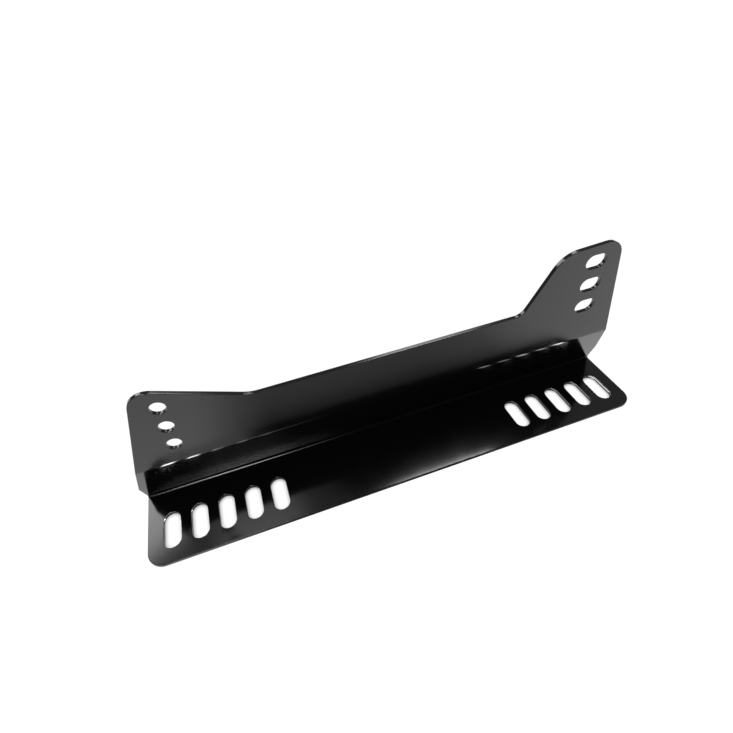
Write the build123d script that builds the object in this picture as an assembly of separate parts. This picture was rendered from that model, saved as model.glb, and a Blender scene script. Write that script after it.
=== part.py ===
from build123d import *
from math import radians, tan
import os

# Seat side bracket, folded from one steel sheet. All sizes in millimetres.
# X runs along the bracket, with the tall lug at +X, and Y runs back from
# the front edge of the flange. The origin is on the underside of the flange,
# at mid length, on the centre line of the flange slots.

# Sheet, with the inside radius of each bend
sheet = 3.0
floor_bend_radius = 1.5
plate_bend_radius = 3.0
edge_chamfer = 0.3

# Flange
length = 400.0
slot_line_to_front = 25.0
slot_line_to_fold = 34.5
flange_corner_radius = 12.0

# Flange slots, a group of equal slots at each end
slot_length = 28.0
slot_width = 12.0
slot_pitch = 20.0
slots_per_group = 5
last_slot_to_end = 17.2

# Leaning wall, from the fold at the flange to the fold at the plate
wall_rise = 45.0
wall_overhang = 12.5

# Plate, heights from the underside of the flange
square_end_height = 20.0
waist_height = 91.0

# Low lug, at the left end
low_tip_height = 120.4
low_end_angle = 18.5
low_slope_angle = 23.7
low_tip_radius = 12.0
low_root_radius = 25.0

# Tall lug, at the right end
tall_tip_height = 137.6
tall_top_width = 47.5
tall_end_angle = 11.6
tall_top_angle = 3.0
tall_slope_angle = 61.0
tall_tip_radius = 15.0
tall_shoulder_radius = 21.0
tall_root_radius = 9.0

# Seat holes, a column in each lug that hangs below its tip and leans inwards
holes_per_column = 3
column_lean_angle = 4.4
low_hole_diameter = 10.0
low_hole_pitch = 17.7
low_hole_inset = 11.5
low_hole_drop = 18.8
tall_slot_length = 17.0
tall_slot_height = 11.2
tall_slot_pitch = 19.9
tall_slot_inset = 18.1
tall_slot_drop = 14.7


def lean(height, angle):
    """Sideways travel of a line that rises by height, angle off upright."""
    return height * tan(radians(angle))


def run(height, angle):
    """Sideways travel of a line that rises by height, angle off level."""
    return height / tan(radians(angle))


# Places that follow from the sizes above, with the lug tips before rounding
left_end = -length / 2
right_end = length / 2
low_tip_x = left_end + lean(low_tip_height - square_end_height, low_end_angle)
tall_tip_x = right_end - lean(tall_tip_height - square_end_height, tall_end_angle)
flange_front_y = -slot_line_to_front
plate_front_y = slot_line_to_fold - wall_overhang
plate_fold_height = sheet + wall_rise
strip_height = max(low_tip_height, tall_tip_height)
strip_depth = slot_line_to_front + slot_line_to_fold + 2 * sheet
plate_bend_front_radius = plate_bend_radius + sheet

# Largest cosine between two faces that still count as square to each other
square_limit = 0.5


def folded_strip():
    """Sheet with its two folds, as long as the bracket and not yet trimmed."""
    with BuildPart() as strip:
        with BuildSketch(Plane.YZ.offset(left_end)):
            with BuildLine():
                face_line = FilletPolyline(
                    (flange_front_y, sheet),
                    (slot_line_to_fold, sheet),
                    (plate_front_y, plate_fold_height),
                    (plate_front_y, strip_height),
                    radius=[floor_bend_radius, plate_bend_front_radius],
                )
                offset(face_line, amount=sheet, side=Side.RIGHT)
            make_face()
        extrude(amount=length)
    return strip.part


def front_view():
    """Outline seen from the front: square below, two lugs and a waist."""
    low_root_x = low_tip_x + run(low_tip_height - waist_height, low_slope_angle)
    shoulder_x = tall_tip_x - tall_top_width
    shoulder_height = tall_tip_height - lean(tall_top_width, tall_top_angle)
    tall_root_x = shoulder_x - run(shoulder_height - waist_height, tall_slope_angle)
    corners = [
        (left_end, 0, 0),
        (left_end, square_end_height, 0),
        (low_tip_x, low_tip_height, low_tip_radius),
        (low_root_x, waist_height, low_root_radius),
        (tall_root_x, waist_height, tall_root_radius),
        (shoulder_x, shoulder_height, tall_shoulder_radius),
        (tall_tip_x, tall_tip_height, tall_tip_radius),
        (right_end, square_end_height, 0),
        (right_end, 0, 0),
    ]
    with BuildSketch(Plane.XZ) as view:
        with BuildLine():
            FilletPolyline(
                [(x, height) for x, height, _ in corners],
                radius=[radius for _, _, radius in corners],
                close=True,
            )
        make_face()
    return view.sketch


def trimmed_strip():
    """Folded strip cut to its front view, with the flange corners rounded."""
    with BuildPart() as body:
        add(folded_strip())
        extrude(front_view(), amount=strip_depth, both=True, mode=Mode.INTERSECT)
        upright = body.edges().filter_by(Axis.Z)
        fillet(upright.group_by(Axis.Y)[0], flange_corner_radius)
    return body.part


def column_places(top_x, top_height, pitch, lean_angle):
    """Hole centres of one column, from the top down."""
    steps = [number * pitch for number in range(holes_per_column)]
    return [(top_x - lean(step, lean_angle), top_height - step) for step in steps]


def flange_slot_places():
    """Slot centres of both groups, counted inwards from the ends."""
    first = right_end - last_slot_to_end
    reach = [first - number * slot_pitch for number in range(slots_per_group)]
    return [(side * x, 0) for side in (-1, 1) for x in reach]


def pierced_sheet():
    """Folded and trimmed sheet with its slots and holes, edges still sharp."""
    low_column = column_places(
        low_tip_x + low_hole_inset,
        low_tip_height - low_hole_drop,
        low_hole_pitch,
        column_lean_angle,
    )
    tall_column = column_places(
        tall_tip_x - tall_slot_inset,
        tall_tip_height - tall_slot_drop,
        tall_slot_pitch,
        -column_lean_angle,
    )
    with BuildPart() as body:
        add(trimmed_strip())
        with BuildSketch(Plane.XY):
            with Locations(flange_slot_places()):
                SlotOverall(slot_length, slot_width, rotation=90)
        extrude(amount=sheet, mode=Mode.SUBTRACT)
        with BuildSketch(Plane.XZ.offset(-plate_front_y)):
            with Locations(low_column):
                Circle(low_hole_diameter / 2)
            with Locations(tall_column):
                SlotOverall(tall_slot_length, tall_slot_height)
        extrude(amount=-sheet, mode=Mode.SUBTRACT)
    return body.part


def is_cut_edge(edge, faces):
    """Whether a face of the sheet and a cut side meet squarely at the edge."""
    middle = edge.position_at(0.5)
    normals = [face.normal_at(middle) for face in faces]
    return len(normals) == 2 and abs(normals[0].dot(normals[1])) < square_limit


def bracket():
    """Finished bracket, with every cut edge slightly broken."""
    body = pierced_sheet()
    faces_at = {}
    for face in body.faces():
        for edge in face.edges():
            faces_at.setdefault(edge, []).append(face)
    cut_edges = [edge for edge, faces in faces_at.items() if is_cut_edge(edge, faces)]
    return chamfer(cut_edges, edge_chamfer)


os.makedirs("parts", exist_ok=True)
side_bracket = bracket()
export_step(side_bracket, "parts/side_bracket.step")
print("solids", len(side_bracket.solids()), "volume", round(side_bracket.volume))
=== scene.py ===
import logging
from dataclasses import dataclass
from enum import Enum
from math import cos, pi, radians, sin

import bpy
from mathutils import Matrix, Vector

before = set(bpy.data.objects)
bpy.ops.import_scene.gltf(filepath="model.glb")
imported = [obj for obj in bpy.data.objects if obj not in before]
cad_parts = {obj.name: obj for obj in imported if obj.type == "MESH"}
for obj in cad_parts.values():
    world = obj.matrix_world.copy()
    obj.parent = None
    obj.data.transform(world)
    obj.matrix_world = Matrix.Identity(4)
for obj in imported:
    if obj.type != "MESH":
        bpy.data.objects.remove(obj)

# Side bracket of folded sheet, coated black, on a white studio floor.
# X runs along the bracket to its tall lug, Y back from its flange to its plate
# and Z up, in metres. The floor flange lies on the floor at z = 0.

log = logging.getLogger("side_bracket")

WHITE = (1.0, 1.0, 1.0, 1.0)


class Ray(Enum):
    """Kinds of ray that a surface of the studio tells apart."""

    CAMERA = "Is Camera Ray"
    GLOSSY = "Is Glossy Ray"
    CLEAR = "Is Transmission Ray"


class NodeBoard:
    """Node tree of one material or world, filled from an empty board."""

    # Values between which nearly all of a noise pattern lies
    noise_low: float = 0.3
    noise_high: float = 0.7

    def __init__(self, owner: bpy.types.ID) -> None:
        """Clear the nodes of a material or world.

        Args:
            owner: the material or world whose nodes are laid out.
        """
        owner.use_nodes = True
        self.tree = owner.node_tree
        self.tree.nodes.clear()

    def node(self, kind: str, **sockets: object) -> bpy.types.Node:
        """Add a node and set or link its inputs.

        Args:
            kind: type name of the node.
            **sockets: input names, with _ for a space, and a value or a socket each.

        Returns:
            The new node.
        """
        made = self.tree.nodes.new(kind)
        for name, value in sockets.items():
            self.feed(made.inputs[name.replace("_", " ")], value)
        return made

    def feed(self, socket: bpy.types.NodeSocket, value: object) -> None:
        """Link a socket to an input, or write a plain value on it.

        Args:
            socket: the input that is set.
            value: an output socket, or a number or colour.
        """
        if isinstance(value, bpy.types.NodeSocket):
            self.tree.links.new(value, socket)
        else:
            socket.default_value = value

    def noise(self, place: bpy.types.NodeSocket, grain: float, detail: float) -> bpy.types.NodeSocket:
        """Add a noise pattern.

        Args:
            place: the coordinates that the pattern reads.
            grain: size of one grain in metres.
            detail: number of finer layers in the pattern.

        Returns:
            The pattern's value, about 0.5 on average.
        """
        made = self.node("ShaderNodeTexNoise", Vector=place, Scale=1 / grain, Detail=detail)
        return made.outputs[0]

    def math(self, operation: str, *values: object) -> bpy.types.NodeSocket:
        """Add one step of arithmetic.

        Args:
            operation: the step's name, as Blender writes it.
            *values: its inputs, each a socket or a number.

        Returns:
            The result.
        """
        made = self.node("ShaderNodeMath")
        made.operation = operation
        for socket, value in zip(made.inputs, values):
            self.feed(socket, value)
        return made.outputs[0]

    def blend(self, share: object, first: object, second: object) -> bpy.types.NodeSocket:
        """Go from one level to another.

        Args:
            share: 0 for the first level, 1 for the second.
            first: the first level, a socket or a number.
            second: the second level, a socket or a number.

        Returns:
            The level in between.
        """
        return self.math("MULTIPLY_ADD", share, self.math("SUBTRACT", second, first), first)

    def profile(self, place: bpy.types.NodeSocket, stops: dict[float, float]) -> bpy.types.NodeSocket:
        """Add a level that follows a profile, straight between its stops.

        Args:
            place: the coordinate along the profile.
            stops: the level at each stop on that coordinate.

        Returns:
            The level at the place.
        """
        first, last, peak = min(stops), max(stops), max(stops.values())
        along = self.node("ShaderNodeMapRange", Value=place, From_Min=first, From_Max=last)
        ramp = self.node("ShaderNodeValToRGB", Fac=along.outputs[0])
        marks = ramp.color_ramp.elements
        for mark, stop in zip(marks, (first, last)):
            mark.color = self.grey(stops[stop] / peak)
        for stop in sorted(stops)[1:-1]:
            mark = marks.new((stop - first) / (last - first))
            mark.color = self.grey(stops[stop] / peak)
        return self.math("MULTIPLY", ramp.outputs[0], peak)

    @staticmethod
    def grey(level: float) -> tuple[float, float, float, float]:
        """Write a level as a grey colour."""
        return (level, level, level, 1.0)

    def span(self, value: bpy.types.NodeSocket, low: float, high: float) -> bpy.types.NodeSocket:
        """Spread a noise value over a range.

        Args:
            value: the noise's value.
            low: result where the noise is at its weakest.
            high: result where the noise is at its strongest.

        Returns:
            The value between low and high.
        """
        made = self.node(
            "ShaderNodeMapRange",
            Value=value,
            From_Min=self.noise_low,
            From_Max=self.noise_high,
            To_Min=low,
            To_Max=high,
        )
        return made.outputs[0]


@dataclass(frozen=True)
class PowderCoat:
    """Semi-gloss black powder coat, baked on steel sheet.

    Its roughness is cloudy, and its bump has a faint orange peel and finer
    dust. Along the sheet's edges it is rounded a little.
    """

    name: str = "black_coat"
    colour: tuple[float, float, float, float] = (0.0018, 0.0018, 0.0019, 1.0)
    gloss_index: float = 1.65
    smoothest: float = 0.11
    roughest: float = 0.15
    cloud_grain: float = 0.03
    cloud_detail: float = 3.0
    bump_detail: float = 1.0
    peel_grain: float = 0.0022
    peel_depth: float = 0.0000025
    dust_grain: float = 0.0003
    dust_depth: float = 0.0000004
    edge_softness: float = 0.0004
    edge_samples: int = 6

    def make(self) -> bpy.types.Material:
        """Lay out the finish.

        Returns:
            The coat's material.
        """
        coat = bpy.data.materials.new(self.name)
        board = NodeBoard(coat)
        place = board.node("ShaderNodeTexCoord").outputs["Object"]
        clouds = board.noise(place, self.cloud_grain, self.cloud_detail)
        roughness = board.span(clouds, self.smoothest, self.roughest)
        edges = board.node("ShaderNodeBevel", Radius=self.edge_softness)
        edges.samples = self.edge_samples
        peel = board.node(
            "ShaderNodeBump",
            Strength=1.0,
            Distance=self.peel_depth,
            Height=board.noise(place, self.peel_grain, self.bump_detail),
            Normal=edges.outputs[0],
        )
        dust = board.node(
            "ShaderNodeBump",
            Strength=1.0,
            Distance=self.dust_depth,
            Height=board.noise(place, self.dust_grain, self.bump_detail),
            Normal=peel.outputs[0],
        )
        shader = board.node(
            "ShaderNodeBsdfPrincipled",
            Base_Color=self.colour,
            IOR=self.gloss_index,
            Roughness=roughness,
            Normal=dust.outputs[0],
        )
        board.node("ShaderNodeOutputMaterial", Surface=shader.outputs[0])
        return coat


@dataclass(frozen=True)
class FloorPaper:
    """White studio paper.

    The camera sees it white, with the bracket's shadow faint on it and painted
    shade darkening the corners inside the slots. Gloss mirrors it white too, but
    for a painted soft shadow pool in front of the bracket's middle, a narrow
    band of painted shade along the flange and painted shade under the flange,
    where a painted bright spot stands for the light that falls through each
    slot. The profiles give a place in metres and how dark the painted shadow
    pool or shade band is there, from 0 to 1.
    """

    name: str = "floor_paper"
    colour: tuple[float, float, float, float] = (0.9, 0.9, 0.9, 1.0)
    # Share of the paper that glows white, and the light that whitens the rest
    white_share: float = 0.88
    open_light: float = 0.5
    # Painted shadow pool, seen in gloss: how dark it is across X and along Y
    shadow_pool_across: tuple[tuple[float, float], ...] = (
        (-0.165, 0.0), (-0.15, 0.2), (-0.123, 0.72), (-0.098, 1.0), (0.06, 1.0),
        (0.125, 0.78), (0.156, 0.4), (0.185, 0.15), (0.24, 0.1), (0.3, 0.0),
    )
    shadow_pool_along: tuple[tuple[float, float], ...] = (
        (-0.32, 0.0), (-0.22, 0.15), (-0.12, 0.45), (-0.068, 0.62), (-0.05, 0.68),
        (-0.04, 0.76), (-0.022, 0.8), (-0.018, 0.0),
    )
    # Painted shade band along the flange's front edge, seen in gloss: across X and along Y
    shade_band_across: tuple[tuple[float, float], ...] = (
        (-0.125, 0.0), (-0.095, 1.0), (0.185, 1.0), (0.2, 0.0),
    )
    shade_band_along: tuple[tuple[float, float], ...] = (
        (-0.045, 0.0), (-0.037, 0.15), (-0.033, 0.3), (-0.029, 0.45), (-0.022, 0.55), (-0.018, 0.0),
    )
    # Brightness of the painted spot of light under each slot, from the last slot inwards
    left_slot_light: tuple[float, ...] = (12.5, 9.0, 1.0, 1.1, 0.6)
    right_slot_light: tuple[float, ...] = (9.5, 2.0, 3.2, 1.0, 1.6)
    last_slot: float = 0.1828
    slot_pitch: float = 0.02
    # Half size of each painted spot of slot light, across and along
    slot_light_half: tuple[float, float] = (0.0045, 0.011)
    # Painted shade under the flange, seen in gloss: its half size and its light level
    under_half: tuple[float, float] = (0.195, 0.02)
    under_light: float = 0.3
    # Painted corner shade inside the slots, from ambient occlusion: its reach and samples
    corner_shade_reach: float = 0.003
    corner_shade_samples: int = 4

    def mirrored(self, board: NodeBoard) -> bpy.types.NodeSocket:
        """Lay out the brightness that gloss sees, with painted shadow, painted shade and painted slot
        light.

        Args:
            board: the paper's node board.

        Returns:
            The brightness, where 1 is white.
        """
        return board.blend(self.under(board), self.open_floor(board), self.shaded_floor(board))

    def open_floor(self, board: NodeBoard) -> bpy.types.NodeSocket:
        """Darken white by the painted shadow pool and the painted shade band.

        Args:
            board: the paper's node board.

        Returns:
            The brightness that gloss sees beside the bracket.
        """
        x, y = self.axes(board)
        # Painted shadow pool in front of the bracket's middle
        shadow_pool = board.math(
            "MULTIPLY",
            board.profile(x, dict(self.shadow_pool_across)),
            board.profile(y, dict(self.shadow_pool_along)),
        )
        # Painted shade band along the flange's front edge
        shade_band = board.math(
            "MULTIPLY",
            board.profile(x, dict(self.shade_band_across)),
            board.profile(y, dict(self.shade_band_along)),
        )
        off_shadow_pool = board.math("SUBTRACT", 1.0, shadow_pool)
        off_shade_band = board.math("SUBTRACT", 1.0, shade_band)
        return board.math("MULTIPLY", off_shadow_pool, off_shade_band)

    def shaded_floor(self, board: NodeBoard) -> bpy.types.NodeSocket:
        """Paint a spot of light under each slot, in painted shade under the flange.

        Args:
            board: the paper's node board.

        Returns:
            The brightness that gloss sees under the flange.
        """
        x, y = self.axes(board)
        past_slot = board.math("SUBTRACT", board.math("ABSOLUTE", x), self.last_slot)
        off_slot = board.math("PINGPONG", past_slot, self.slot_pitch / 2)
        across, along = (
            board.math("LESS_THAN", off, half)
            for off, half in zip((off_slot, board.math("ABSOLUTE", y)), self.slot_light_half)
        )
        # Painted spot of light under each slot
        slot_light_spot = board.math("MULTIPLY", across, along)
        return board.blend(slot_light_spot, self.under_light, board.profile(x, self.slot_light_stops()))

    def slot_light_stops(self) -> dict[float, float]:
        """Place the brightness of each painted spot of slot light along X.

        Returns:
            The brightness at each slot's place, in metres.
        """
        stops = {}
        for side, spots in ((-1, self.left_slot_light), (1, self.right_slot_light)):
            for number, brightness in enumerate(spots):
                stops[side * (self.last_slot - number * self.slot_pitch)] = brightness
        return stops

    def axes(self, board: NodeBoard) -> tuple[bpy.types.NodeSocket, bpy.types.NodeSocket]:
        """Read the place on the paper.

        Args:
            board: the paper's node board.

        Returns:
            The place along X and the place along Y, in metres.
        """
        place = board.node("ShaderNodeTexCoord").outputs["Object"]
        axes = board.node("ShaderNodeSeparateXYZ", Vector=place)
        return axes.outputs[0], axes.outputs[1]

    def under(self, board: NodeBoard) -> bpy.types.NodeSocket:
        """Mark the paper under the flange.

        Args:
            board: the paper's node board.

        Returns:
            1 under the flange and 0 elsewhere.
        """
        across, along = (
            board.math("LESS_THAN", board.math("ABSOLUTE", axis), half)
            for axis, half in zip(self.axes(board), self.under_half)
        )
        return board.math("MULTIPLY", across, along)

    def make(self) -> bpy.types.Material:
        """Lay out the finish.

        Returns:
            The paper's material.
        """
        paper = bpy.data.materials.new(self.name)
        board = NodeBoard(paper)
        rays = board.node("ShaderNodeLightPath").outputs
        gloss = rays[Ray.GLOSSY.value]
        straight = board.math("MAXIMUM", rays[Ray.CAMERA.value], rays[Ray.CLEAR.value])
        share = board.math("MAXIMUM", gloss, board.math("MULTIPLY", straight, self.white_share))
        # Painted shade in the corners inside the slots, from ambient occlusion, seen by the camera
        corner_shade = board.node("ShaderNodeAmbientOcclusion", Distance=self.corner_shade_reach)
        corner_shade.samples = self.corner_shade_samples
        white = (1 - (1 - self.white_share) * self.open_light) / self.white_share
        corner_shaded_white = board.math("MULTIPLY", corner_shade.outputs["AO"], white)
        seen = board.blend(self.under(board), white, corner_shaded_white)
        level = board.blend(gloss, seen, self.mirrored(board))
        matt = board.node("ShaderNodeBsdfDiffuse", Color=self.colour)
        glow = board.node("ShaderNodeEmission", Color=WHITE, Strength=level)
        mixed = board.node("ShaderNodeMixShader", Fac=share)
        board.feed(mixed.inputs[1], matt.outputs[0])
        board.feed(mixed.inputs[2], glow.outputs[0])
        board.node("ShaderNodeOutputMaterial", Surface=mixed.outputs[0])
        return paper


@dataclass
class SideBracket:
    """The bracket itself: one folded sheet, dressed in its coat."""

    node: str = "side_bracket"

    def dress(self, coat: bpy.types.Material) -> bpy.types.Object:
        """Give the sheet its coat.

        Args:
            coat: the powder coat's material.

        Returns:
            The dressed sheet.
        """
        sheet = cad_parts[self.node]
        for slot in sheet.material_slots:
            slot.material = coat
        return sheet


@dataclass
class StudioFloor:
    """Floor that carries the bracket and fills the view.

    It lies a hair below the flange, so that the two faces don't coincide.
    """

    half_size: float = 20.0
    drop: float = 0.00005

    def build(self, paper: bpy.types.Material) -> bpy.types.Object:
        """Lay the floor under the bracket.

        Args:
            paper: the floor's material.

        Returns:
            The floor.
        """
        bpy.ops.object.select_all(action="DESELECT")
        bpy.ops.mesh.primitive_plane_add(size=2 * self.half_size, location=(0, 0, -self.drop))
        floor = bpy.context.object
        floor.name = "studio_floor"
        bpy.ops.object.transform_apply(location=True, rotation=True, scale=True)
        floor.data.materials.append(paper)
        return floor


@dataclass
class SoftLamp:
    """Rectangular soft lamp, aimed at a point on the floor.

    Its way is two angles in degrees, left of straight back and upwards. With
    a brightness of 1 it would look white. One that only shows in gloss adds
    no light to matt surfaces.
    """

    name: str
    way: tuple[float, float]
    distance: float
    size: tuple[float, float]
    brightness: float
    aim_x: float = 0.0
    only_in_gloss: bool = False

    def build(self) -> bpy.types.Object:
        """Hang the lamp in its direction.

        Returns:
            The lamp.
        """
        turn, rise = (radians(angle) for angle in self.way)
        out = Vector((-sin(turn) * cos(rise), cos(turn) * cos(rise), sin(rise)))
        light = bpy.data.lights.new(self.name, "AREA")
        light.shape = "RECTANGLE"
        light.size, light.size_y = self.size
        light.energy = self.brightness * pi * light.size * light.size_y
        lamp = bpy.data.objects.new(self.name, light)
        lamp.location = out * self.distance + Vector((self.aim_x, 0, 0))
        lamp.rotation_euler = out.to_track_quat("Z", "Y").to_euler()
        lamp.visible_camera = False
        lamp.visible_diffuse = not self.only_in_gloss
        bpy.context.collection.objects.link(lamp)
        return lamp


LAMPS = (
    SoftLamp("left_window", (35.0, 39.3), distance=4.0, size=(1.15, 2.04), brightness=3.9),
    SoftLamp("right_window", (-27.0, 45.0), distance=4.0, size=(1.0, 0.6), brightness=3.5),
    SoftLamp("rear_panel", (0.0, 71.0), 2.32, (0.72, 1.0), brightness=17.0, aim_x=0.75, only_in_gloss=True),
    SoftLamp("ceiling_panel", (180.0, 65.0), 2.36, (0.462, 0.58), brightness=10.0, aim_x=-0.405),
    SoftLamp("ceiling_left", (180.0, 65.0), 2.36, (0.32, 0.58), brightness=2.6, aim_x=-0.796),
    SoftLamp("ceiling_right", (180.0, 65.0), 2.36, (0.24, 0.58), brightness=1.6, aim_x=-0.054),
    SoftLamp("top_panel", (180.0, 90.0), 2.2, (0.447, 0.48), brightness=1.8, aim_x=-0.393),
    SoftLamp("front_panel", (180.0, 46.0), 2.36, (0.468, 0.5), brightness=10.5, aim_x=-0.604),
)


@dataclass(frozen=True)
class StudioAir:
    """Light from all round.

    It is white to look at and fills the shade. Gloss mirrors it dim behind
    the bracket and dark in front of it: its profile goes from -1, straight
    to the front, to 1, straight back.
    """

    for_gloss: tuple[tuple[float, float], ...] = ((-1.0, 0.01), (0.1, 0.01), (0.35, 0.2), (1.0, 0.2))
    for_fill: float = 0.6

    def make(self) -> bpy.types.World:
        """Lay out the world.

        Returns:
            The world, set on the scene.
        """
        world = bpy.data.worlds.new("studio_air")
        board = NodeBoard(world)
        rays = board.node("ShaderNodeLightPath").outputs
        way = board.node("ShaderNodeTexCoord").outputs["Generated"]
        backwards = board.node("ShaderNodeSeparateXYZ", Vector=way).outputs[1]
        in_gloss = board.profile(backwards, dict(self.for_gloss))
        light = board.blend(rays[Ray.GLOSSY.value], self.for_fill, in_gloss)
        seen = board.math("MAXIMUM", rays[Ray.CAMERA.value], light)
        air = board.node("ShaderNodeBackground", Color=WHITE, Strength=seen)
        board.node("ShaderNodeOutputWorld", Surface=air.outputs[0])
        bpy.context.scene.world = world
        return world


@dataclass
class PhotoCamera:
    """Camera in front of the bracket, left of its middle, looking down on it."""

    place: tuple[float, float, float] = (-0.07812, -0.18906, 0.30024)
    right: tuple[float, float, float] = (0.942662, -0.327012, -0.066723)
    up: tuple[float, float, float] = (0.275772, 0.650579, 0.707599)
    lens: float = 21.5466
    sensor: float = 36.0
    shift: tuple[float, float] = (0.001, 0.0036)
    clip: tuple[float, float] = (0.01, 100.0)

    def build(self) -> bpy.types.Object:
        """Set the camera up and make it the scene's camera.

        Returns:
            The camera.
        """
        data = bpy.data.cameras.new("photo_camera")
        data.lens, data.sensor_width = self.lens, self.sensor
        data.shift_x, data.shift_y = self.shift
        data.clip_start, data.clip_end = self.clip
        camera = bpy.data.objects.new("photo_camera", data)
        right = Vector(self.right).normalized()
        back = right.cross(Vector(self.up)).normalized()
        turn = Matrix((right, back.cross(right), back)).transposed()
        camera.matrix_world = Matrix.Translation(self.place) @ turn.to_4x4()
        bpy.context.collection.objects.link(camera)
        bpy.context.scene.camera = camera
        return camera


def main() -> None:
    """Build the bracket and its studio, and report each piece."""
    logging.basicConfig(level=logging.INFO, format="%(name)s: %(message)s")
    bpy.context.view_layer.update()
    sheet = SideBracket().dress(PowderCoat().make())
    log.info("%s wears %s", sheet.name, sheet.material_slots[0].material.name)
    floor = StudioFloor().build(FloorPaper().make())
    log.info("%s lies at %.5f m", floor.name, floor.data.vertices[0].co.z)
    for lamp in (plan.build() for plan in LAMPS):
        log.info("%s hangs %.2f m away", lamp.name, lamp.location.length)
    log.info("%s fills the room", StudioAir().make().name)
    log.info("%s stands at %s", PhotoCamera().build().name, PhotoCamera.place)
    bpy.context.scene.view_settings.view_transform = "Standard"


if __name__ == "__main__":
    main()
